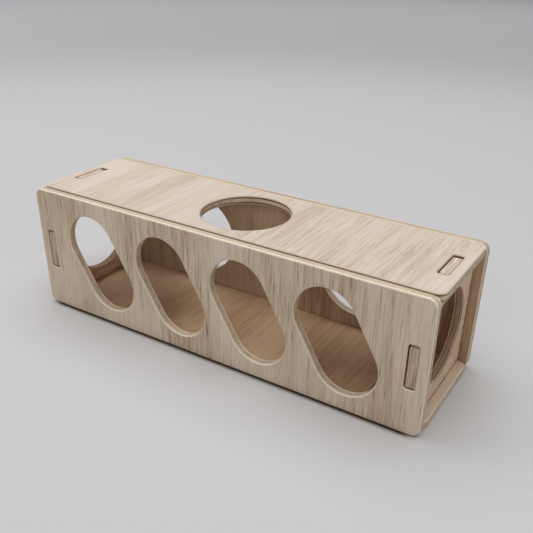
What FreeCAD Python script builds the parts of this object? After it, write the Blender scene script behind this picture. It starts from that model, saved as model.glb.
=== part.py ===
import FreeCAD, Part
import os

# Wooden tunnel for a hamster: six plywood boards held together by tabs in slots.
# X runs along the tunnel, Y across it, Z up. The origin is on the ground, under the middle.

# Outside size of the tunnel
length = 300.0
width = 90.0
height = 91.0

# Board used for every piece, and how far its edges are broken by sanding
board = 6.0
broken_edge = 0.4

# Radius of the four outer corners of the long boards
corner_radius = 6.0

# Joint left open between the front board and the roof and floor, which lie against the back
open_joint = 1.4

# How far the upright sides are lifted off the ground, within the play of the tabs
side_lift = 0.6

# Slots near both ends of the long boards, in the upright sides and in the lying roof and floor
slot_from_end = 10.0
slot_width = 7.0
slot_corner = 1.5
side_slot_length = 29.4
lying_slot_length = 28.4

# Tabs of the end frames: how much shorter they are than their slots, in the sides and in the
# lying boards, how far their ends lie below the boards' faces, and the radius of their corners
side_tab_play = 2.0
lying_tab_play = 3.4
tab_recess = 0.2
tab_corner = 1.7

# Large round openings in the two end frames
end_opening_radius = 30.0

# Round opening in the roof
top_opening_radius = 30.2

# Slanted openings with round ends in the front, leaning to the left, and the strip beside each
# slot that they leave free: they share the rest of the board evenly
front_openings = 4
front_free_strip = 13.1
front_opening_radius = 21.1
front_opening_reach = 29.8
front_opening_slant = 30.0

# Round openings in the back, and the strip beside each slot that they leave free
back_openings = 2
back_free_strip = 1.5
back_opening_radius = 29.5

# Heights and places that follow from the sizes above
middle_height = height / 2
side_height = height - side_lift
side_middle = (height + side_lift) / 2
inner_width = width - 2 * board
inner_height = height - 2 * board
lying_width = inner_width - open_joint
lying_shift = open_joint / 2
slot_centre = length / 2 - slot_from_end
slot_inner_side = slot_centre - slot_width / 2
front_opening_pitch = 2 * (slot_inner_side - front_free_strip) / front_openings
back_opening_pitch = 2 * (slot_inner_side - back_free_strip) / back_openings
side_tab_length = side_slot_length - side_tab_play
lying_tab_length = lying_slot_length - lying_tab_play

# Both frames have slid as far to the right as their slots let them
frame_shift = (slot_width - board) / 2

along_x = FreeCAD.Vector(1, 0, 0)
along_y = FreeCAD.Vector(0, 1, 0)
along_z = FreeCAD.Vector(0, 0, 1)


def edges_along(shape, axis):
    """The straight edges of a shape that run along one axis."""
    found = []
    for edge in shape.Edges:
        run = edge.Vertexes[-1].Point - edge.Vertexes[0].Point
        if run.Length > 0 and abs(run.dot(axis)) > 0.999 * run.Length:
            found.append(edge)
    return found


def rounded_block(size_x, size_y, size_z, centre, corner_axis, radius):
    """A block about its centre, with the four edges along one axis rounded."""
    corner = centre - FreeCAD.Vector(size_x / 2, size_y / 2, size_z / 2)
    block = Part.makeBox(size_x, size_y, size_z, corner)
    return block.makeFillet(radius, edges_along(block, corner_axis))


def round_cutter(radius, centre, axis):
    """A cylinder through a board, centred on the board's middle plane."""
    start = centre - axis * board
    return Part.makeCylinder(radius, 2 * board, start, axis)


def slot_cutters(size_y, size_z, centre, through_axis):
    """The two slots of a long board, one near each end, with rounded corners."""
    cutters = []
    for side in (-1, 1):
        place = centre + along_x * (side * slot_centre)
        cutters.append(rounded_block(slot_width, size_y, size_z, place, through_axis, slot_corner))
    return cutters


def sanded(shape, centre, axis):
    """The board with every edge of its two flat faces broken."""
    sharp = []
    for edge in shape.Edges:
        box = edge.BoundBox
        low = FreeCAD.Vector(box.XMin, box.YMin, box.ZMin) - centre
        high = FreeCAD.Vector(box.XMax, box.YMax, box.ZMax) - centre
        flat = abs((high - low).dot(axis)) < 0.001
        if flat and abs(abs(low.dot(axis)) - board / 2) < 0.001:
            sharp.append(edge)
    return shape.makeChamfer(broken_edge, sharp)


def side_board(side, opening_cutters):
    """The front (side -1) or back (side 1) board, standing upright, just clear of the ground."""
    centre = FreeCAD.Vector(0, side * (width - board) / 2, side_middle)
    panel = rounded_block(length, board, side_height, centre, along_y, corner_radius)
    panel = panel.cut(slot_cutters(3 * board, side_slot_length, centre, along_y))
    panel = panel.cut(opening_cutters)
    return sanded(panel, centre, along_y)


def lying_board(centre_height, opening_cutters):
    """The floor or roof board, lying between the front and back boards."""
    centre = FreeCAD.Vector(0, lying_shift, centre_height)
    panel = rounded_block(length, lying_width, board, centre, along_z, corner_radius)
    panel = panel.cut(slot_cutters(lying_slot_length, 3 * board, centre, along_z))
    if opening_cutters:
        panel = panel.cut(opening_cutters)
    return sanded(panel, centre, along_z)


def slanted_cutter(centre_x):
    """A slanted opening with round ends, cut through the front board."""
    turn = FreeCAD.Rotation(along_y, -front_opening_slant)
    reach = turn.multVec(along_z * (front_opening_reach / 2))
    side = turn.multVec(along_x * front_opening_radius)
    tip = turn.multVec(along_z * front_opening_radius)
    centre = FreeCAD.Vector(centre_x, -width / 2 - board, middle_height)
    top = centre + reach
    bottom = centre - reach
    edges = [
        Part.Arc(top - side, top + tip, top + side).toShape(),
        Part.LineSegment(top + side, bottom + side).toShape(),
        Part.Arc(bottom + side, bottom - tip, bottom - side).toShape(),
        Part.LineSegment(bottom - side, top - side).toShape(),
    ]
    return Part.Face(Part.Wire(edges)).extrude(along_y * (3 * board))


def make_front_panel():
    """The front board with its slanted openings, evenly spaced about the middle."""
    cutters = []
    for number in range(front_openings):
        centre_x = (number - (front_openings - 1) / 2) * front_opening_pitch
        cutters.append(slanted_cutter(centre_x))
    return side_board(-1, cutters)


def make_back_panel():
    """The back board with its round openings, evenly spaced about the middle."""
    cutters = []
    for number in range(back_openings):
        centre_x = (number - (back_openings - 1) / 2) * back_opening_pitch
        centre = FreeCAD.Vector(centre_x, (width - board) / 2, middle_height)
        cutters.append(round_cutter(back_opening_radius, centre, along_y))
    return side_board(1, cutters)


def make_top_panel():
    """The roof board with the round opening in its middle."""
    centre_height = height - board / 2
    centre = FreeCAD.Vector(0, 0, centre_height)
    return lying_board(centre_height, [round_cutter(top_opening_radius, centre, along_z)])


def make_bottom_panel():
    """The floor board, which has slots but no opening."""
    return lying_board(board / 2, [])


def frame_block(size_y, size_z, centre):
    """A rectangle of board across the tunnel, about its centre."""
    corner = centre - FreeCAD.Vector(board / 2, size_y / 2, size_z / 2)
    return Part.makeBox(board, size_y, size_z, corner)


def make_end_frame(side):
    """An end frame: a board with a large round opening and a tab on each of its four sides."""
    centre = FreeCAD.Vector(side * slot_centre + frame_shift, 0, middle_height)
    reach_y = width - 2 * tab_recess
    reach_z = height - 2 * tab_recess
    frame = frame_block(inner_width, inner_height, centre)
    side_tabs = frame_block(reach_y, side_tab_length, centre)
    upright_tabs = frame_block(lying_tab_length, reach_z, centre)
    frame = frame.fuse([side_tabs, upright_tabs]).removeSplitter()
    corners = []
    for edge in edges_along(frame, along_x):
        place = edge.Vertexes[0].Point - centre
        at_side = abs(abs(place.y) - inner_width / 2) < 0.001
        at_level = abs(abs(place.z) - inner_height / 2) < 0.001
        if at_side == at_level:
            corners.append(edge)
    frame = frame.makeFillet(tab_corner, corners)
    frame = frame.cut(round_cutter(end_opening_radius, centre, along_x))
    return sanded(frame, centre, along_x)


pieces = {
    "front_panel": make_front_panel(),
    "back_panel": make_back_panel(),
    "top_panel": make_top_panel(),
    "bottom_panel": make_bottom_panel(),
    "left_end_frame": make_end_frame(-1),
    "right_end_frame": make_end_frame(1),
}

os.makedirs("parts", exist_ok=True)
for name, shape in pieces.items():
    solid = shape.Solids[0]
    print(name, "solids", len(shape.Solids), "valid", solid.isValid(), "volume", round(solid.Volume, 1))
    solid.exportStep("parts/" + name + ".step")
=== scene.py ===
import math

import bpy
from mathutils import Matrix, Vector


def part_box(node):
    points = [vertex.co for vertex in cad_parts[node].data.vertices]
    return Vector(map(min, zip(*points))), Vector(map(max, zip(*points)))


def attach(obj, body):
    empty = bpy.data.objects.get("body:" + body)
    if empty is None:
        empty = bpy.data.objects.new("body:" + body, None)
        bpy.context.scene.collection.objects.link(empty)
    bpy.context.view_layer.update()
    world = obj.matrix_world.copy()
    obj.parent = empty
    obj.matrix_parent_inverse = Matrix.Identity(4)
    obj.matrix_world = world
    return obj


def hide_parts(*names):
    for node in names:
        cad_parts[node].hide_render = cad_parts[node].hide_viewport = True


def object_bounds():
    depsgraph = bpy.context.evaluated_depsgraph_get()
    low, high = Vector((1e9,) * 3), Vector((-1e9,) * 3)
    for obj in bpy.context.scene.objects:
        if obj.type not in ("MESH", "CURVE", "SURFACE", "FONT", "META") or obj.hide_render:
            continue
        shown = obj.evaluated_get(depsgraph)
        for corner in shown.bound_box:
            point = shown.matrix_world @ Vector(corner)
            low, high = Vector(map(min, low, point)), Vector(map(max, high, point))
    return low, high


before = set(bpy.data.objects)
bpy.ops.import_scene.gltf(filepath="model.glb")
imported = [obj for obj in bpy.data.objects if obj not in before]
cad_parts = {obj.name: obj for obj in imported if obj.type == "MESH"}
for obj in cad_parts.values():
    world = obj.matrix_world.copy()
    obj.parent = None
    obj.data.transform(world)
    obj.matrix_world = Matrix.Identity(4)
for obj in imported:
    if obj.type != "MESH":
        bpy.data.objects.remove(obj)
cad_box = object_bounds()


# Front board. The real piece is a sheet of 6 mm three-ply board, cut out by a router and finely
# sanded, with four slanted openings and a slot near each end for the end frames' tabs. Its face
# veneer is a pale wood whose grain stands upright. Its lower edge is a hair clear of the ground.
front_low, front_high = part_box("front_panel")
front_size = front_high - front_low
front_middle = (front_low + front_high) / 2
board = 0.006
eased_edge = 0.0007
eased_steps = 5
outer_corner = 0.006
slot_from_end = 0.010
slot_pitch = front_size.x - 2 * slot_from_end
slot_width = 0.0070
side_slot_length = 0.0294
slot_corner = 0.0015
slot_inner_side = (slot_pitch - slot_width) / 2
opening_height = cad_box[1][2] / 2
front_opening_count = 4
front_free_strip = 0.0131
front_opening_pitch = 2 * (slot_inner_side - front_free_strip) / front_opening_count
front_opening_radius = 0.0211
front_opening_reach = 0.0298
front_opening_slant = math.radians(30)
stands_upright = (math.radians(90), 0, 0)
sewing_distance = 0.000002


def put(tree, kind, links=None, **settings):
    """A new node in a tree, with its settings, and its inputs linked or given a value."""
    node = tree.nodes.new(kind)
    for setting, value in settings.items():
        setattr(node, setting, value)
    for key, value in (links or {}).items():
        socket = node.inputs[key]
        if isinstance(value, bpy.types.NodeSocket):
            tree.links.new(value, socket)
        elif isinstance(value, bpy.types.Node):
            tree.links.new(value.outputs[0], socket)
        else:
            socket.default_value = value
    return node


def calculate(tree, operation, first, second=0.0):
    """A Math node's result."""
    return put(tree, "ShaderNodeMath", {0: first, 1: second}, operation=operation).outputs[0]


def plus(tree, first, second):
    """The sum of two values."""
    return calculate(tree, "ADD", first, second)


def minus(tree, first, second):
    """The first value less the second."""
    return calculate(tree, "SUBTRACT", first, second)


def times(tree, first, second):
    """The product of two values."""
    return calculate(tree, "MULTIPLY", first, second)


def unsigned(tree, value):
    """A value without its sign."""
    return calculate(tree, "ABSOLUTE", value)


def vector_of(tree, x=0.0, y=0.0, z=0.0):
    """A vector from its three parts."""
    return put(tree, "ShaderNodeCombineXYZ", {0: x, 1: y, 2: z})


def parts_of(tree, vector):
    """The three parts of a vector."""
    return put(tree, "ShaderNodeSeparateXYZ", {0: vector}).outputs


def group_of(kind, name, inputs, outputs):
    """A node group with named inputs and outputs, and its two end nodes."""
    tree = bpy.data.node_groups.new(name, kind)
    for socket_name, socket_type, default in inputs:
        socket = tree.interface.new_socket(socket_name, in_out="INPUT", socket_type=socket_type)
        if default is not None:
            socket.default_value = default
    for socket_name, socket_type in outputs:
        tree.interface.new_socket(socket_name, in_out="OUTPUT", socket_type=socket_type)
    return tree, tree.nodes.new("NodeGroupInput").outputs, tree.nodes.new("NodeGroupOutput").inputs


def joined(tree, parts):
    """Several shapes as one."""
    whole = put(tree, "GeometryNodeJoinGeometry")
    for part in parts:
        tree.links.new(part.outputs[0], whole.inputs[0])
    return whole


def draw_outline(tree, given, ease):
    """The board's outline where its flat face ends, inside the real edge by the eased edge."""
    # Each point has as its own radius the share of the corner radius that it gets
    corner = minus(tree, given["Corner Radius"], ease)
    corner = times(tree, corner, put(tree, "GeometryNodeInputRadius"))
    return put(tree, "GeometryNodeFilletCurve", {
        "Curve": given["Outline"], "Count": given["Corner Steps"], "Radius": corner,
        "Limit Radius": True}, mode="POLY")


def draw_opening(tree, given, ease):
    """One opening: a circle whose two halves are pulled apart and which is then slanted."""
    circle = put(tree, "GeometryNodeCurvePrimitiveCircle", {
        "Resolution": given["Opening Steps"],
        "Radius": plus(tree, given["Opening Radius"], ease)}, mode="RADIUS")

    # Turned by half a step, so that none of its points lies between the two halves
    half_step = calculate(tree, "DIVIDE", math.pi, given["Opening Steps"])
    circle = put(tree, "GeometryNodeTransform", {
        "Geometry": circle, "Rotation": vector_of(tree, z=half_step)})
    height = parts_of(tree, put(tree, "GeometryNodeInputPosition"))[1]
    half_reach = times(tree, given["Opening Reach"], 0.5)
    pull = times(tree, calculate(tree, "SIGN", height), half_reach)
    stretched = put(tree, "GeometryNodeSetPosition", {
        "Geometry": circle, "Offset": vector_of(tree, y=pull)})
    return put(tree, "GeometryNodeTransform", {
        "Geometry": stretched, "Rotation": vector_of(tree, z=given["Opening Slant"]),
        "Translation": vector_of(tree, y=given["Opening Rise"])})


def draw_slot(tree, given, ease):
    """One slot: a narrow rectangle with rounded corners."""
    twice = times(tree, ease, 2.0)
    slot = put(tree, "GeometryNodeCurvePrimitiveQuadrilateral", {
        "Width": plus(tree, given["Slot Width"], twice),
        "Height": plus(tree, given["Slot Length"], twice)}, mode="RECTANGLE")
    return put(tree, "GeometryNodeFilletCurve", {
        "Curve": slot, "Count": given["Corner Steps"],
        "Radius": plus(tree, given["Slot Corner"], ease), "Limit Radius": True}, mode="POLY")


def in_a_row(tree, shape, count, pitch):
    """A shape repeated evenly along the board, about its middle."""
    first = times(tree, times(tree, minus(tree, count, 1.0), -0.5), pitch)
    row = put(tree, "GeometryNodeMeshLine", {
        "Count": count, "Start Location": vector_of(tree, first),
        "Offset": vector_of(tree, pitch)}, mode="OFFSET")
    copies = put(tree, "GeometryNodeInstanceOnPoints", {"Points": row, "Instance": shape})
    return put(tree, "GeometryNodeRealizeInstances", {"Geometry": copies})


def draw_section(tree, half, ease):
    """The edge's section: four points, the middle two pushed out and rounded into eased edges."""
    index = put(tree, "GeometryNodeInputIndex").outputs[0]
    is_middle = calculate(tree, "LESS_THAN", unsigned(tree, minus(tree, index, 1.5)), 1.0)
    is_upper = calculate(tree, "LESS_THAN", index, 1.5)
    up_or_down = minus(tree, times(tree, is_upper, 2.0), 1.0)
    corner = vector_of(tree, times(tree, is_middle, ease), times(tree, up_or_down, half))
    line = put(tree, "GeometryNodeMeshLine", {"Count": 4}, mode="OFFSET")
    section = put(tree, "GeometryNodeMeshToCurve", {"Mesh": line})
    section = put(tree, "GeometryNodeSetPosition", {"Geometry": section, "Position": corner})
    return put(tree, "GeometryNodeFilletCurve", {
        "Curve": section, "Count": eased_steps, "Radius": ease, "Limit Radius": True}, mode="POLY")


def make_board_tree():
    """Geometry nodes that turn a flat outline into a board with eased edges, openings and slots."""
    number, whole, vector = "NodeSocketFloat", "NodeSocketInt", "NodeSocketVector"
    tree, given, result = group_of("GeometryNodeTree", "Eased board", [
        ("Outline", "NodeSocketGeometry", None),
        ("Thickness", number, board),
        ("Eased Edge", number, eased_edge),
        ("Corner Radius", number, outer_corner),
        ("Corner Steps", whole, 8),
        ("Opening Count", whole, 0),
        ("Opening Pitch", number, 0.0),
        ("Opening Radius", number, 0.02),
        ("Opening Reach", number, 0.0),
        ("Opening Slant", number, 0.0),
        ("Opening Rise", number, 0.0),
        ("Opening Steps", whole, 96),
        ("Slot Count", whole, 0),
        ("Slot Pitch", number, 0.0),
        ("Slot Width", number, slot_width),
        ("Slot Length", number, side_slot_length),
        ("Slot Corner", number, slot_corner),
        ("Turn", vector, (0, 0, 0)),
        ("Place", vector, (0, 0, 0)),
        ("Material", "NodeSocketMaterial", None),
    ], [("Board", "NodeSocketGeometry")])
    tree.is_modifier = True
    ease = given["Eased Edge"]

    # The outline and, the other way round, the openings and slots
    outline = draw_outline(tree, given, ease)
    opening = draw_opening(tree, given, ease)
    slot = draw_slot(tree, given, ease)
    openings = in_a_row(tree, opening, given["Opening Count"], given["Opening Pitch"])
    slots = in_a_row(tree, slot, given["Slot Count"], given["Slot Pitch"])
    holes = put(tree, "GeometryNodeReverseCurve", {"Curve": joined(tree, (openings, slots))})
    paths = joined(tree, (outline, holes))

    # The sawn edges: the section led along every path
    half = times(tree, given["Thickness"], 0.5)
    even = put(tree, "GeometryNodeSetCurveRadius", {"Curve": paths, "Radius": 1.0})
    upright = put(tree, "GeometryNodeSetCurveNormal", {"Curve": even}, mode="Z_UP")
    walls = put(tree, "GeometryNodeCurveToMesh", {
        "Curve": upright, "Profile Curve": draw_section(tree, half, ease)})
    walls = put(tree, "GeometryNodeSetShadeSmooth", {"Geometry": walls, "Shade Smooth": True})

    # The two flat faces
    flat = put(tree, "GeometryNodeFillCurve", {"Curve": paths}, mode="TRIANGLES")
    flat = put(tree, "GeometryNodeSetShadeSmooth", {"Geometry": flat, "Shade Smooth": False})
    upper = put(tree, "GeometryNodeTransform", {
        "Geometry": flat, "Translation": vector_of(tree, z=half)})
    lower = put(tree, "GeometryNodeTransform", {
        "Geometry": flat, "Translation": vector_of(tree, z=times(tree, half, -1.0))})
    lower = put(tree, "GeometryNodeFlipFaces", {"Mesh": lower})

    # Sewn together, turned to its place and given its wood
    shell = joined(tree, (walls, upper, lower))
    closed = put(tree, "GeometryNodeMergeByDistance", {
        "Geometry": shell, "Distance": sewing_distance})
    placed = put(tree, "GeometryNodeTransform", {
        "Geometry": closed, "Rotation": given["Turn"], "Translation": given["Place"]})
    real = put(tree, "GeometryNodeRealizeInstances", {"Geometry": placed})
    made = put(tree, "GeometryNodeSetMaterial", {"Geometry": real, "Material": given["Material"]})
    tree.links.new(made.outputs[0], result["Board"])
    return tree


board_tree = make_board_tree()


def make_board(name, outline, wood, **sizes):
    """A closed plain mesh of one board, from its flat outline and the board tree's named inputs."""
    curve = bpy.data.curves.new(name + "_outline", "CURVE")
    curve.dimensions = "3D"
    spline = curve.splines.new("POLY")
    spline.points.add(len(outline) - 1)
    for point, (x, y, corner_share) in zip(spline.points, outline):
        point.co = (x, y, 0, 1)
        point.radius = corner_share
    spline.use_cyclic_u = True
    drawing = bpy.data.objects.new(name + "_outline", curve)
    bpy.context.collection.objects.link(drawing)
    maker = drawing.modifiers.new("Board", "NODES")
    maker.node_group = board_tree
    sockets = {}
    for item in board_tree.interface.items_tree:
        if item.in_out == "INPUT":
            sockets[item.name] = item.identifier
    maker[sockets["Material"]] = wood
    for size, value in sizes.items():
        maker[sockets[size.replace("_", " ").title()]] = value
    ready = drawing.evaluated_get(bpy.context.evaluated_depsgraph_get())
    mesh = bpy.data.meshes.new_from_object(ready)
    mesh.name = name
    bpy.data.objects.remove(drawing)
    piece = bpy.data.objects.new(name, mesh)
    bpy.context.collection.objects.link(piece)
    return piece


def rectangle(length, width):
    """A rectangle's corners, anticlockwise, inside the real edge by the eased edge's radius."""
    x = length / 2 - eased_edge
    y = width / 2 - eased_edge
    return [(-x, -y, 1), (x, -y, 1), (x, y, 1), (-x, y, 1)]


def make_grain_group():
    """Wood fibres: streaks along the first axis, seen alike on a face, a side cut or an end cut."""
    number, vector = "NodeSocketFloat", "NodeSocketVector"
    drift_scale, distortion = 9.0, 0.1
    tree, given, result = group_of("ShaderNodeTree", "Wood fibres", [
        ("Along Grain", vector, (0, 0, 0)),
        ("Seed", number, 0.0),
        ("Drift", number, 0.004),
    ], [
        ("Marking", number),
        ("Broad", number),
        ("Streak", number),
        ("Fibre", number),
        ("Dash", number),
    ])
    seeded = vector_of(tree, given["Seed"], given["Seed"], given["Seed"])
    place = put(tree, "ShaderNodeVectorMath", {0: given["Along Grain"], 1: seeded}, operation="ADD")

    # The fibres drift a little to the side along the board
    slow = put(tree, "ShaderNodeTexNoise", {
        "Vector": place, "Scale": drift_scale, "Detail": 1.0}).outputs[0]
    aside = times(tree, minus(tree, slow, 0.5), given["Drift"])
    aside = vector_of(tree, 0.0, aside, aside)
    place = put(tree, "ShaderNodeVectorMath", {0: place, 1: aside}, operation="ADD")

    # Calm and marked places, growth bands, streaks, fine fibres and short dark pores, each
    # squeezed along the grain: its scale along and across the fibres, detail and roughness
    layers = (
        ("Marking", 7.0, 16.0, 1.0, 0.5),
        ("Broad", 6.0, 30.0, 2.0, 0.5),
        ("Streak", 12.0, 210.0, 3.0, 0.6),
        ("Fibre", 30.0, 900.0, 2.0, 0.6),
        ("Dash", 65.0, 1150.0, 1.5, 0.5),
    )
    for name, along, across, detail, roughness in layers:
        scale = (along, across, across)
        squeezed = put(tree, "ShaderNodeVectorMath", {0: place, 1: scale}, operation="MULTIPLY")
        noise = put(tree, "ShaderNodeTexNoise", {
            "Vector": squeezed, "Scale": 1.0, "Detail": detail, "Roughness": roughness,
            "Distortion": distortion}, noise_dimensions="3D")
        tree.links.new(noise.outputs[0], result[name])
    return tree


grain_group = make_grain_group()


def between(tree, value, low, high):
    """A value's place between two limits, from 0 to 1, with a soft start and end."""
    limits = {0: value, 1: low, 2: high}
    return put(tree, "ShaderNodeMapRange", limits, interpolation_type="SMOOTHSTEP").outputs[0]


def mix_colours(tree, share, first, second, blend="MIX"):
    """Two colours mixed by a share."""
    mixed = {0: share, 6: first, 7: second}
    return put(tree, "ShaderNodeMix", mixed, data_type="RGBA", blend_type=blend).outputs[2]


def find_fibres(tree, given, place, is_core):
    """The marks of the wood, along the face's grain or, in the core, across it."""
    core_offset = 0.3
    core_place = vector_of(tree, place[1], place[0], plus(tree, place[2], core_offset))
    turned = put(tree, "ShaderNodeMix", {
        0: is_core, 4: given["Board Place"], 5: core_place}, data_type="VECTOR").outputs[1]
    fibres = put(tree, "ShaderNodeGroup", {
        "Along Grain": turned, "Seed": given["Seed"]}, node_tree=grain_group).outputs

    # The level of the noise at which each mark begins and at which it is full
    return {
        "marking": between(tree, fibres["Marking"], 0.38, 0.62),
        "broad": between(tree, fibres["Broad"], 0.34, 0.66),
        "streak": between(tree, fibres["Streak"], 0.40, 0.68),
        "fibre": between(tree, fibres["Fibre"], 0.38, 0.68),
        "dash": between(tree, fibres["Dash"], 0.56, 0.70),
    }


def colour_face(tree, given, marks, shaded_inner):
    """The face: soft bands and streaks, fine fibres, dashes that gather in the darker streaks, and
    painted shade on the inner face.
    """
    streak_share, fibre_share, broad_share = 0.42, 0.48, 0.33
    calm_strength, marked_gain = 0.4, 0.9
    stray_dashes, gathered_dashes = 0.06, 0.50
    tone = times(tree, marks["streak"], streak_share)
    tone = plus(tree, tone, times(tree, marks["fibre"], fibre_share))
    tone = times(tree, tone, plus(tree, calm_strength, times(tree, marks["marking"], marked_gain)))
    tone = plus(tree, tone, times(tree, marks["broad"], broad_share))
    plain = mix_colours(tree, tone, given["Face"], given["Face Streak"])
    gathered = plus(tree, stray_dashes, times(tree, tone, gathered_dashes))
    gathered = times(tree, times(tree, marks["dash"], gathered), given["Pores"])
    plain = mix_colours(tree, gathered, plain, given["Glue"])
    with_painted_shade = mix_colours(tree, 1.0, plain, given["Inner Painted Shade"], "MULTIPLY")
    return mix_colours(tree, shaded_inner, plain, with_painted_shade)


def colour_cut(tree, given, place, marks, end, is_core, glue):
    """The cut edge: three plies with fine lines along them, the end grain speckled, and glue."""
    side_streaks, end_speckles, core_streaks = 0.35, 0.45, 0.3
    line_scale = (45, 45, 2000)
    line_starts, line_full = 0.44, 0.62
    tab_glue, added_in_body = 0.3, 0.7
    side = mix_colours(
        tree, times(tree, marks["streak"], side_streaks), given["Ply"], given["Face Streak"])
    speckled = mix_colours(
        tree, times(tree, marks["dash"], end_speckles), given["End Grain"], given["Glue"])
    cut = mix_colours(tree, end, side, speckled)

    # The core has its own tone, except on a tab's end, past the board's body
    reach = calculate(tree, "MAXIMUM", unsigned(tree, place[0]), unsigned(tree, place[1]))
    in_body = calculate(tree, "LESS_THAN", reach, given["Body Half"])
    core_colour = mix_colours(
        tree, times(tree, marks["streak"], core_streaks), given["Core Tone"], given["Glue"])
    cut = mix_colours(tree, times(tree, is_core, in_body), cut, core_colour)

    # Fine lines along the plies, and the glue between them, which shows less on a tab's end
    lined = put(tree, "ShaderNodeVectorMath", {
        0: given["Board Place"], 1: line_scale}, operation="MULTIPLY")
    lines = put(tree, "ShaderNodeTexNoise", {"Vector": lined, "Scale": 1.0, "Detail": 1.0}).outputs[0]
    lines = times(tree, between(tree, lines, line_starts, line_full), given["Cut Lines"])
    cut = mix_colours(tree, lines, cut, given["Glue"])
    glue_share = times(tree, glue, given["Glue Line"])
    glue_share = times(tree, glue_share, plus(tree, tab_glue, times(tree, in_body, added_in_body)))
    return mix_colours(tree, glue_share, cut, given["Glue"])


core = 0.0030
glue_half, glue_faded = 0.00008, 0.00040
joint_waver, waver_scale = 0.0005, 60.0
joint_shade_starts, joint_shade_full = 0.0010, 0.0026
eased_painted_light_strength = 0.9
dash_depth, streak_depth = 0.5, 0.3
plain_roughness, fibre_roughness, end_roughness = 0.55, 0.12, 0.1

# How far a surface is turned, as the share of its normal, where it starts to count as end grain,
# as a face or as a cut, and where it fully does
end_starts, end_full = 0.15, 0.85
face_starts, face_full = 0.55, 0.98
cut_full, cut_ends = 0.05, 0.55


def make_plywood_group():
    """Three-ply board: face veneer, a core whose grain turns by a right angle, and glue lines."""
    number, vector, colour = "NodeSocketFloat", "NodeSocketVector", "NodeSocketColor"
    tree, given, result = group_of("ShaderNodeTree", "Three-ply board", [
        ("Board Place", vector, (0, 0, 0)),
        ("Board Normal", vector, (0, 0, 1)),
        ("Core", number, core),
        ("Seed", number, 0.0),
        ("Inward", number, 0.0),
        ("Face", colour, (0.8, 0.7, 0.6, 1)),
        ("Face Streak", colour, (0.5, 0.4, 0.3, 1)),
        ("Inner Painted Shade", colour, (1, 1, 1, 1)),
        ("Painted Shade Half", number, 1.0),
        ("Pores", number, 1.0),
        ("Ply", colour, (0.8, 0.7, 0.6, 1)),
        ("Core Tone", colour, (0.8, 0.7, 0.6, 1)),
        ("Body Half", number, 1.0),
        ("End Grain", colour, (0.4, 0.3, 0.2, 1)),
        ("Eased", colour, (0.8, 0.7, 0.6, 1)),
        ("Glue", colour, (0.2, 0.13, 0.08, 1)),
        ("Glue Line", number, 0.7),
        ("Cut Lines", number, 0.3),
        ("Joint From", number, 1.0),
        ("Painted Joint Shade", colour, (0.3, 0.2, 0.15, 1)),
    ], [("Colour", colour), ("Height", number), ("Roughness", number)])
    place = parts_of(tree, given["Board Place"])
    normal = parts_of(tree, given["Board Normal"])

    # The core lies about the middle, between two face plies, and the joints waver a little
    wave = put(tree, "ShaderNodeTexNoise", {
        "Vector": given["Board Place"], "Scale": waver_scale, "Detail": 1.0}).outputs[0]
    wave = times(tree, minus(tree, wave, 0.5), joint_waver)
    from_middle = unsigned(tree, plus(tree, place[2], wave))
    from_joint = minus(tree, from_middle, times(tree, given["Core"], 0.5))
    is_core = calculate(tree, "LESS_THAN", from_joint, 0.0)
    glue = minus(tree, 1.0, between(tree, unsigned(tree, from_joint), glue_half, glue_faded))
    marks = find_fibres(tree, given, place, is_core)

    # A face lies flat and a cut stands upright, with the eased edge between the two. End grain
    # shows where a cut crosses the fibres. The inner face gets painted shade, as far as its shaded
    # half.
    end = between(tree, unsigned(tree, normal[0]), end_starts, end_full)
    flatness = unsigned(tree, normal[2])
    is_face = between(tree, flatness, face_starts, face_full)
    is_cut = minus(tree, 1.0, between(tree, flatness, cut_full, cut_ends))
    is_eased = minus(tree, 1.0, plus(tree, is_face, is_cut))
    shaded_inner = between(tree, times(tree, normal[2], given["Inward"]), face_starts, face_full)
    is_past = calculate(tree, "GREATER_THAN", unsigned(tree, place[1]), given["Painted Shade Half"])
    shaded_inner = times(tree, shaded_inner, minus(tree, 1.0, is_past))

    # The eased edges get painted light: a painted highlight, lighter than the wood, on the long
    # boards, and painted shade on the end frames
    face_colour = colour_face(tree, given, marks, shaded_inner)
    cut_colour = colour_cut(tree, given, place, marks, end, is_core, glue)
    shown = mix_colours(tree, is_face, cut_colour, face_colour)
    shown = mix_colours(tree, times(tree, is_eased, eased_painted_light_strength), shown, given["Eased"])

    # Painted shade: the inner half of the edge along the open joint is darkened, for the shade inside
    # the joint
    at_joint = calculate(tree, "GREATER_THAN", unsigned(tree, place[0]), given["Joint From"])
    on_inner_half = between(
        tree, times(tree, place[2], given["Inward"]), joint_shade_starts, joint_shade_full)
    shown = mix_colours(tree, times(tree, at_joint, on_inner_half), shown, given["Painted Joint Shade"])
    tree.links.new(shown, result["Colour"])

    # Dashes and glue lines lie a little deeper, and end grain is rougher
    sunk = times(tree, marks["dash"], dash_depth)
    sunk = plus(tree, sunk, times(tree, marks["streak"], streak_depth))
    sunk = plus(tree, sunk, times(tree, glue, minus(tree, 1.0, is_face)))
    tree.links.new(minus(tree, 1.0, sunk), result["Height"])
    rough = plus(tree, plain_roughness, times(tree, marks["fibre"], fibre_roughness))
    rough = plus(tree, rough, times(tree, end, end_roughness))
    tree.links.new(rough, result["Roughness"])
    return tree


plywood_group = make_plywood_group()


def srgb(red, green, blue):
    """A colour written as on a screen, from 0 to 255, for a shader."""
    channels = []
    for value in (red, green, blue):
        share = value / 255
        channels.append(share / 12.92 if share <= 0.04045 else ((share + 0.055) / 1.055) ** 2.4)
    return (*channels, 1.0)


# Painted shade in narrow gaps and joints: how far the occlusion looks, where it starts and ends, and
# its tint
painted_gap_shade_reach = 0.0025
gap_closed, gap_open = 0.30, 0.80
painted_gap_shade_tint = srgb(235, 222, 208)
grain_depth = 0.0002
grain_relief = 0.25
bare_wood_gloss = 0.1
x_axis, y_axis, z_axis = 0, 1, 2


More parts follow.
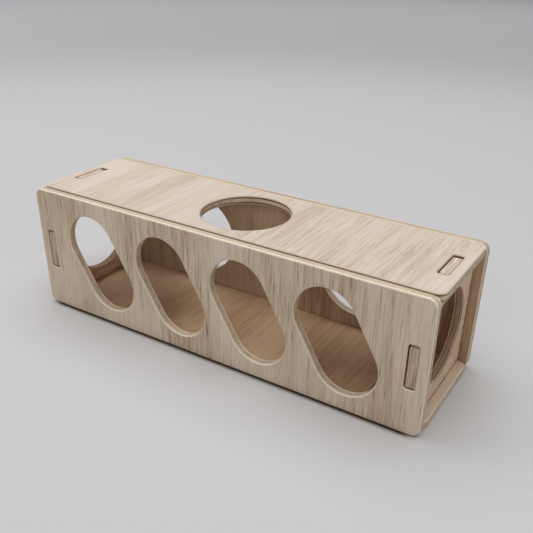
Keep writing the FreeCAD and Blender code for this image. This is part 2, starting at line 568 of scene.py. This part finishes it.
def plywood(name, axes, inward, middle, seed, tones):
    """Bare plywood: the axes of its grain, width and thickness, its inner side, and its tones."""
    grain, across, through = axes
    wood = bpy.data.materials.new(name)
    wood.use_nodes = True
    tree = wood.node_tree
    shader = tree.nodes["Principled BSDF"]
    given = put(tree, "ShaderNodeTexCoord").outputs
    centred = put(tree, "ShaderNodeVectorMath", {0: given["Object"], 1: middle}, operation="SUBTRACT")
    place = parts_of(tree, centred)
    normal = parts_of(tree, given["Normal"])
    layers = put(tree, "ShaderNodeGroup", {
        "Board Place": vector_of(tree, place[grain], place[across], place[through]),
        "Board Normal": vector_of(tree, normal[grain], normal[across], normal[through]),
        "Seed": seed, "Inward": inward, **tones}, node_tree=plywood_group).outputs

    # Painted shade: narrow gaps and joints between the boards are darkened in the colour, where
    # little light reaches
    nearness = put(tree, "ShaderNodeAmbientOcclusion", {"Distance": painted_gap_shade_reach}, samples=8)
    open_share = between(tree, nearness.outputs["AO"], gap_closed, gap_open)
    painted_shade_in_gap = mix_colours(tree, 1.0, layers["Colour"], painted_gap_shade_tint, "MULTIPLY")
    shown = mix_colours(tree, open_share, painted_shade_in_gap, layers["Colour"])
    tree.links.new(shown, shader.inputs["Base Color"])
    tree.links.new(layers["Roughness"], shader.inputs["Roughness"])
    bump = put(tree, "ShaderNodeBump", {
        "Height": layers["Height"], "Strength": grain_relief, "Distance": grain_depth})
    tree.links.new(bump.outputs[0], shader.inputs["Normal"])
    shader.inputs["Specular IOR Level"].default_value = bare_wood_gloss
    return wood


side_tones = {
    "Core": 0.0022,
    "Face": srgb(229, 212, 192),
    "Face Streak": srgb(194, 168, 141),
    # The inner face's painted shade, and how far along the board it reaches
    "Inner Painted Shade": (0.90, 0.79, 0.68, 1),
    "Painted Shade Half": slot_pitch / 2,
    "Pores": 1.25,
    "Ply": srgb(236, 214, 188),
    "Core Tone": srgb(222, 202, 178),
    "End Grain": srgb(248, 233, 208),
    "Eased": srgb(252, 240, 222),
    "Glue": srgb(112, 82, 58),
    "Glue Line": 0.45,
    "Cut Lines": 0.15,
}
# Painted shade along the front board's inner top and bottom edges, at the open joints
joint_shade_depth = 0.0005
front_tones = side_tones | {
    "Joint From": front_size.z / 2 - joint_shade_depth,
    "Painted Joint Shade": srgb(120, 96, 74),
}
front_wood = plywood("front_plywood", (z_axis, x_axis, y_axis), 1, front_middle, 0.0, front_tones)
front = make_board(
    "front_board", rectangle(front_size.x, front_size.z), front_wood,
    opening_count=front_opening_count, opening_pitch=front_opening_pitch,
    opening_radius=front_opening_radius, opening_reach=front_opening_reach,
    opening_slant=front_opening_slant, opening_rise=opening_height - front_middle.z,
    slot_count=2, slot_pitch=slot_pitch, turn=stands_upright, place=front_middle)
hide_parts("front_panel")
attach(front, "root")


# Back board. The same sheet as the front, but with two large round openings in place of the
# slanted ones. Its grain stands upright too.
back_low, back_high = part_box("back_panel")
back_size = back_high - back_low
back_middle = (back_low + back_high) / 2
back_opening_count = 2
back_free_strip = 0.0015
back_opening_pitch = 2 * (slot_inner_side - back_free_strip) / back_opening_count
back_opening_radius = 0.0295
# The back board is seen inside the tunnel: painted shade covers its whole inner face, and its darker
# core, end grain and eased edges are painted shade too
back_tones = side_tones | {
    "Inner Painted Shade": (0.77, 0.69, 0.60, 1),
    "Painted Shade Half": 1.0,
    "Core Tone": srgb(214, 194, 168),
    "End Grain": srgb(232, 218, 200),
    "Eased": srgb(232, 218, 200),
    "Glue Line": 0.5,
}
back_wood = plywood("back_plywood", (z_axis, x_axis, y_axis), -1, back_middle, 3.7, back_tones)
back = make_board(
    "back_board", rectangle(back_size.x, back_size.z), back_wood,
    opening_count=back_opening_count, opening_pitch=back_opening_pitch,
    opening_radius=back_opening_radius, opening_rise=opening_height - back_middle.z,
    slot_count=2, slot_pitch=slot_pitch, turn=stands_upright, place=back_middle)
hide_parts("back_panel")
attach(back, "root")


# Roof and floor boards. They lie between the two sides, pushed against the back one, so that a
# joint stays open along the front. The roof has one large round opening in its middle, the floor
# has none. Their grain runs across the tunnel. The roof's face is palest, as painted light on its lit
# top, and the floor's face darker and warmest, as painted shade inside the tunnel.
top_opening_radius = 0.0302
lying_slot_length = 0.0284
roof_tones = side_tones | {
    "Core": core,
    # The roof's pale face is painted light
    "Face": srgb(229, 216, 203),
    "Face Streak": srgb(207, 188, 167),
    "Pores": 0.45,
    "Ply": srgb(238, 216, 188),
    "Core Tone": srgb(232, 208, 178),
    "End Grain": srgb(166, 134, 102),
    "Eased": srgb(236, 220, 198),
    "Glue": srgb(78, 54, 36),
    "Glue Line": 1.0,
}
floor_tones = side_tones | {
    "Core": core,
    # The floor's darker, warmer face is painted shade
    "Face": srgb(220, 201, 179),
    "Face Streak": srgb(200, 174, 147),
    "Inner Painted Shade": (0.93, 0.825, 0.71, 1),
    "Pores": 0.7,
    "Ply": srgb(240, 216, 186),
    "Core Tone": srgb(232, 215, 194),
    "Eased": srgb(248, 236, 218),
    "Glue Line": 0.7,
}
for name, node, inward, count, seed, tones in (
        ("roof", "top_panel", -1, 1, 7.1, roof_tones),
        ("floor", "bottom_panel", 1, 0, 11.9, floor_tones)):
    low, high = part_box(node)
    middle = (low + high) / 2
    wood = plywood(name + "_plywood", (y_axis, x_axis, z_axis), inward, middle, seed, tones)
    piece = make_board(
        name + "_board", rectangle(high.x - low.x, high.y - low.y), wood,
        opening_count=count, opening_radius=top_opening_radius,
        slot_count=2, slot_pitch=slot_pitch, slot_length=lying_slot_length, place=middle)
    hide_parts(node)
    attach(piece, "root")


# End frames. Each is a square of the same board with a large round opening and a tab in the
# middle of each side, pushed through the slots of the four long boards, where the tabs' sawn
# ends show their plies. Nothing else holds the tunnel together.
frame_width = back_low.y - front_high.y
frame_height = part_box("top_panel")[0].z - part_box("bottom_panel")[1].z
side_tab_play = 0.002
upright_tab_play = 0.0034
tab_corner = 0.0017
tab_corner_steps = 4
tab_root_corner = 0.0001
tab_end_from = 0.001
end_opening_radius = 0.030
faces_along_tunnel = (math.radians(90), 0, math.radians(90))
frame_tones = side_tones | {
    "Core": core,
    "Face": srgb(238, 214, 186),
    "Face Streak": srgb(206, 174, 140),
    "Ply": srgb(234, 219, 202),
    "Core Tone": srgb(196, 162, 126),
    "Body Half": frame_height / 2 + tab_end_from,
    "End Grain": srgb(216, 192, 166),
    # The frame's dark eased edges are painted shade
    "Eased": srgb(165, 136, 106),
    "Glue Line": 0.9,
    "Cut Lines": 0.5,
}


def tabbed_outline(reach_y, reach_z):
    """A frame's outline: a rectangle with a tab on each side, inside the real edge."""
    body_y = frame_width / 2 - eased_edge
    body_z = frame_height / 2 - eased_edge
    tip_y = reach_y / 2 - eased_edge
    tip_z = reach_z / 2 - eased_edge
    side_tab = (side_slot_length - side_tab_play) / 2 - eased_edge
    upright_tab = (lying_slot_length - upright_tab_play) / 2 - eased_edge
    root = (tab_root_corner + eased_edge) / (tab_corner - eased_edge)
    quarter = [
        (upright_tab, -tip_z, 1), (upright_tab, -body_z, root), (body_y, -body_z, 1),
        (body_y, -side_tab, root), (tip_y, -side_tab, 1)]
    right = quarter + [(across, -up, share) for across, up, share in reversed(quarter)]
    return right + [(-across, -up, share) for across, up, share in right]


for name, node, seed in (
        ("left_frame", "left_end_frame", 17.3),
        ("right_frame", "right_end_frame", 23.8)):
    low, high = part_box(node)
    middle = (low + high) / 2
    wood = plywood(name + "_plywood", (y_axis, z_axis, x_axis), 0, middle, seed, frame_tones)
    piece = make_board(
        name, tabbed_outline(high.y - low.y, high.z - low.z), wood,
        corner_radius=tab_corner, corner_steps=tab_corner_steps, opening_count=1,
        opening_radius=end_opening_radius, turn=faces_along_tunnel, place=middle)
    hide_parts(node)
    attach(piece, "root")


# Studio. A pale matt floor, with painted shade a little way off and painted light in the distance,
# one large soft lamp above with three weaker ones around it, and the camera at the photograph's
# angle.
floor_reach = 6.0
floor_near = 0.7
floor_middle = 1.2
floor_far = 2.4
floor_tone = srgb(208, 207, 208)
floor_painted_shade_tone = srgb(197, 197, 198)
floor_painted_light_tone = srgb(234, 234, 238)
floor_roughness = 0.9
floor_gloss = 0.1
floor_mesh = bpy.data.meshes.new("studio_floor")
floor_corners = [(-floor_reach, -floor_reach, 0), (floor_reach, -floor_reach, 0),
                 (floor_reach, floor_reach, 0), (-floor_reach, floor_reach, 0)]
floor_mesh.from_pydata(floor_corners, [], [(0, 1, 2, 3)])
studio_floor = bpy.data.objects.new("studio_floor", floor_mesh)
bpy.context.collection.objects.link(studio_floor)
floor_paint = bpy.data.materials.new("studio_floor_paint")
floor_paint.use_nodes = True
paint_tree = floor_paint.node_tree
floor_place = put(paint_tree, "ShaderNodeTexCoord").outputs["Object"]
distance = put(paint_tree, "ShaderNodeVectorMath", {0: floor_place}, operation="LENGTH")
painted_shade_share = between(paint_tree, distance.outputs["Value"], floor_near, floor_middle)
painted_light_share = between(paint_tree, distance.outputs["Value"], floor_middle, floor_far)
floor_colour = mix_colours(paint_tree, painted_shade_share, floor_tone, floor_painted_shade_tone)
floor_colour = mix_colours(paint_tree, painted_light_share, floor_colour, floor_painted_light_tone)

# The front board stands a little off the floor, and the floor's colour gets painted shade in the
# narrow gap below it
under_board_reach = 0.005
under_board_closed, under_board_open = 0.52, 0.97
under_board_painted_shade = srgb(74, 60, 48)
nearness = put(paint_tree, "ShaderNodeAmbientOcclusion", {"Distance": under_board_reach}, samples=16)
floor_point = parts_of(paint_tree, floor_place)
below_front = between(paint_tree, floor_point[1], front_high.y, front_low.y)
within_ends = between(
    paint_tree, unsigned(paint_tree, floor_point[0]), front_high.x, front_high.x - 2 * outer_corner)
open_share = between(paint_tree, nearness.outputs["AO"], under_board_closed, under_board_open)
painted_shade_in_gap = times(paint_tree, minus(paint_tree, 1.0, open_share), below_front)
painted_shade_in_gap = times(paint_tree, painted_shade_in_gap, within_ends)
floor_colour = mix_colours(paint_tree, painted_shade_in_gap, floor_colour, under_board_painted_shade)
floor_shader = paint_tree.nodes["Principled BSDF"]
paint_tree.links.new(floor_colour, floor_shader.inputs["Base Color"])
floor_shader.inputs["Roughness"].default_value = floor_roughness
floor_shader.inputs["Specular IOR Level"].default_value = floor_gloss
floor_mesh.materials.append(floor_paint)

scene = bpy.context.scene
scene.view_settings.view_transform = "Standard"
world_strength = 0.11
world = bpy.data.worlds.new("studio_light")
scene.world = world
world.use_nodes = True
sky = world.node_tree.nodes["Background"]
sky.inputs["Color"].default_value = (1, 1, 1, 1)
sky.inputs["Strength"].default_value = world_strength

# Each lamp's place, width and power, all aimed at the middle of the tunnel
lamp_aim = Vector((0, 0, 0.04))
lamps = (
    ("lamp_above", (-0.2, 0.2, 2.4), 3.2, 57),
    ("lamp_front", (0.3, -2.0, 1.4), 1.6, 9.8),
    ("lamp_left", (-2.0, -0.3, 0.9), 1.2, 6.5),
    ("lamp_right", (2.0, -0.1, 0.6), 1.2, 4.0),
)
for name, lamp_place, width, power in lamps:
    lamp = bpy.data.lights.new(name, "AREA")
    lamp.shape = "DISK"
    lamp.size = width
    lamp.energy = power
    holder = bpy.data.objects.new(name, lamp)
    holder.location = lamp_place
    holder.rotation_euler = (lamp_aim - Vector(lamp_place)).to_track_quat("-Z", "Y").to_euler()
    bpy.context.collection.objects.link(holder)

# The camera's place, turns and lens, as the photograph's own lines give them
photo_width = 533
focal_pixels = 691.1
centre_x_pixels = 270.21
centre_y_pixels = 304.39
camera_azimuth = math.radians(31.73)
camera_elevation = math.radians(29.32)
camera_roll = math.radians(0.975)
camera_place = (0.2390, -0.3536, 0.2614)
camera = bpy.data.cameras.new("camera")
camera.sensor_width = 36
camera.lens = focal_pixels * camera.sensor_width / photo_width
camera.shift_x = (photo_width / 2 - centre_x_pixels) / photo_width
camera.shift_y = (centre_y_pixels - photo_width / 2) / photo_width
camera.clip_start = 0.01
camera_holder = bpy.data.objects.new("camera", camera)
turned = Matrix.Rotation(camera_azimuth, 4, "Z")
turned = turned @ Matrix.Rotation(math.radians(90) - camera_elevation, 4, "X")
turned = turned @ Matrix.Rotation(camera_roll, 4, "Z")
camera_holder.matrix_world = Matrix.Translation(camera_place) @ turned
bpy.context.collection.objects.link(camera_holder)
scene.camera = camera_holder

bpy.context.view_layer.update()
